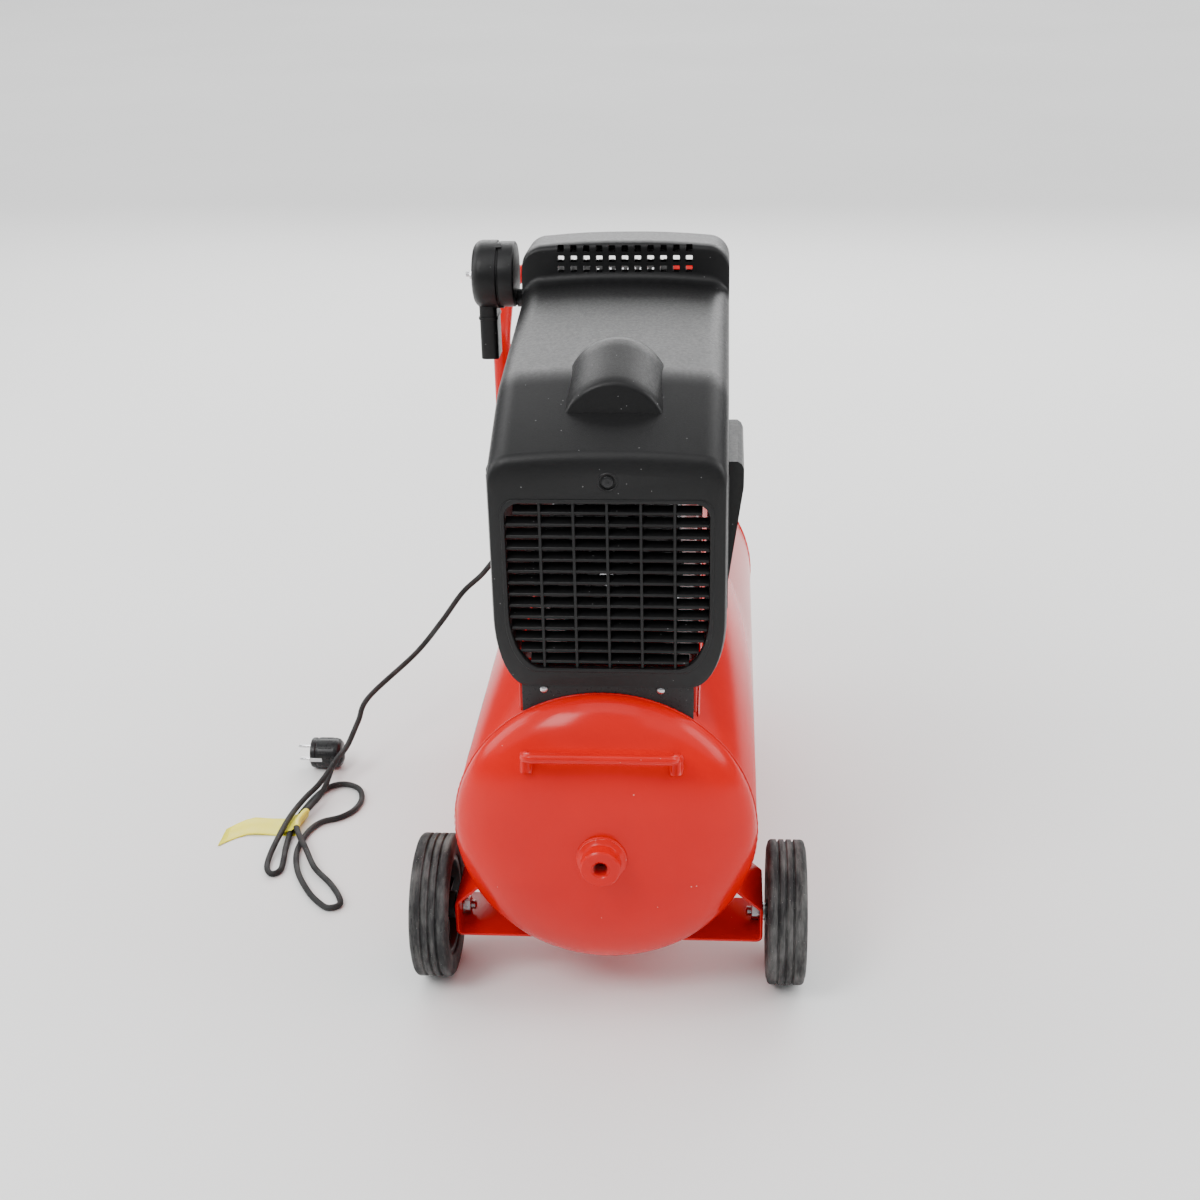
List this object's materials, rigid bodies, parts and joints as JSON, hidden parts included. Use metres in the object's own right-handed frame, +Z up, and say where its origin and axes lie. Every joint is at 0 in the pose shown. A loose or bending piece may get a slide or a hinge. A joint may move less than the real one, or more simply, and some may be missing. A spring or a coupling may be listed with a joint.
{
  "type": "wheeled air compressor",
  "caption": "Wheeled horizontal-tank air compressor with a direct-drive piston pump, shrouded motor, handle, wheels, regulator, gauges and mains lead.",
  "frame": {"origin": "on the floor, under the middle of the compressor's outer box, measured without the mains lead, plug and tag", "axes": "+Y along the tank from the wheel end to the handle end, +Z up, +X to the right seen from the wheel end"},
  "size_m": [0.692, 0.776, 0.6958],
  "materials": {
    "red_paint": "gloss red powder coat",
    "black_plastic": "black moulded plastic, fine texture",
    "black_rubber": "matt black rubber",
    "zinc_steel": "bright zinc plate",
    "cast_aluminium": "as-cast aluminium",
    "machined_steel": "turned and ground steel",
    "brass": "plain brass",
    "nickel_plate": "bright nickel plate",
    "sight_glass": "clear moulded window",
    "red_plastic": "red moulded plastic",
    "yellow_film": "plain yellow film",
    "black_tyre": "dusty black tyre"
  },
  "bodies": {
    "chassis": {"tank_shell": "red_paint", "tank_head_rear": "red_paint", "tank_head_front": "red_paint", "rear_boss": "red_paint", "lift_handle": "red_paint", "axle_bracket_left": "red_paint", "axle_bracket_right": "red_paint", "foot_bracket": "red_paint", "front_handle": "red_paint", "motor_platform": "red_paint", "shroud": "black_plastic", "fan_grille": "black_plastic", "end_plate": "black_plastic", "air_filter": "black_plastic", "intake_pipe": "black_plastic", "oil_filler_plug": "black_plastic", "pressure_switch": "black_plastic", "cord_gland": "black_plastic", "foot_left": "black_rubber", "foot_right": "black_rubber", "handle_grip": "black_rubber", "mains_cord": "black_rubber", "mains_plug": "black_rubber", "axle_bolt_left": "zinc_steel", "axle_bolt_right": "zinc_steel", "axle_nut_left": "zinc_steel", "axle_nut_right": "zinc_steel", "discharge_pipe": "zinc_steel", "motor_housing": "cast_aluminium", "motor_end_bell": "cast_aluminium", "crankcase": "cast_aluminium", "crankcase_cover": "cast_aluminium", "cylinder": "cast_aluminium", "cylinder_head": "cast_aluminium", "valve_plate": "machined_steel", "check_valve": "brass", "manifold": "brass", "safety_valve": "brass", "drain_valve": "brass", "gauge_outlet": "nickel_plate", "gauge_tank": "nickel_plate", "quick_coupler": "nickel_plate", "oil_sight_glass": "sight_glass", "cord_tag": "yellow_film"},
    "wheel_left": {"tyre_left": "black_tyre", "hub_left": "black_plastic"},
    "wheel_right": {"tyre_right": "black_tyre", "hub_right": "black_plastic"},
    "crank": {"crankshaft": "machined_steel", "rotor": "machined_steel", "cooling_fan": "black_plastic"},
    "piston": {"piston": "cast_aluminium"},
    "conrod": {"connecting_rod": "cast_aluminium"},
    "switch_knob": {"switch_knob": "red_plastic"},
    "regulator_knob": {"regulator_knob": "black_plastic"},
    "needle_outlet": {"needle_outlet": "red_plastic"},
    "needle_tank": {"needle_tank": "red_plastic"},
    "coupler_sleeve": {"coupler_sleeve": "nickel_plate"},
    "safety_ring": {"safety_ring": "nickel_plate"},
    "drain_knob": {"drain_knob": "nickel_plate"}
  },
  "joints": [
    {"name": "wheel_left_spin", "type": "hinge", "parent": "chassis", "child": "wheel_left", "pos_m": [-0.182, -0.267, 0.0745], "axis": [1, 0, 0], "continuous": true},
    {"name": "wheel_right_spin", "type": "hinge", "parent": "chassis", "child": "wheel_right", "pos_m": [0.182, -0.267, 0.0745], "axis": [1, 0, 0], "continuous": true},
    {"name": "crank_spin", "type": "hinge", "parent": "chassis", "child": "crank", "pos_m": [0.005, -0.112, 0.465], "axis": [0, 1, 0], "continuous": true},
    {"name": "piston_stroke", "type": "slide", "parent": "chassis", "child": "piston", "axis": [0, 0, 1], "range_m": [0, 0.036]},
    {"name": "conrod_swing", "type": "hinge", "parent": "piston", "child": "conrod", "pos_m": [0.005, 0.113, 0.542], "axis": [0, 1, 0], "range_deg": [-10.9, 10.9]},
    {"name": "switch_pull", "type": "slide", "parent": "chassis", "child": "switch_knob", "axis": [0, 0, 1], "range_m": [0, 0.006]},
    {"name": "regulator_turn", "type": "hinge", "parent": "chassis", "child": "regulator_knob", "pos_m": [0.005, 0.3, 0.392], "axis": [0, 1, 0], "range_deg": [-330, 330]},
    {"name": "needle_outlet_sweep", "type": "hinge", "parent": "chassis", "child": "needle_outlet", "pos_m": [-0.06, 0.2658, 0.392], "axis": [0, 1, 0], "range_deg": [-270, 0], "stiffness_Nm_per_rad": 0.0005},
    {"name": "needle_tank_sweep", "type": "hinge", "parent": "chassis", "child": "needle_tank", "pos_m": [0.07, 0.2658, 0.392], "axis": [0, 1, 0], "range_deg": [-270, 0], "stiffness_Nm_per_rad": 0.0005},
    {"name": "coupler_sleeve_pull", "type": "slide", "parent": "chassis", "child": "coupler_sleeve", "axis": [-1, 0, 0], "range_m": [0, 0.003], "stiffness_N_per_m": 600},
    {"name": "safety_ring_pull", "type": "slide", "parent": "chassis", "child": "safety_ring", "axis": [-1, 0, 0], "range_m": [0, 0.004], "stiffness_N_per_m": 500},
    {"name": "drain_turn", "type": "hinge", "parent": "chassis", "child": "drain_knob", "pos_m": [0, -0.012, 0.03], "axis": [0, 0, 1], "range_deg": [0, 330]}
  ]
}
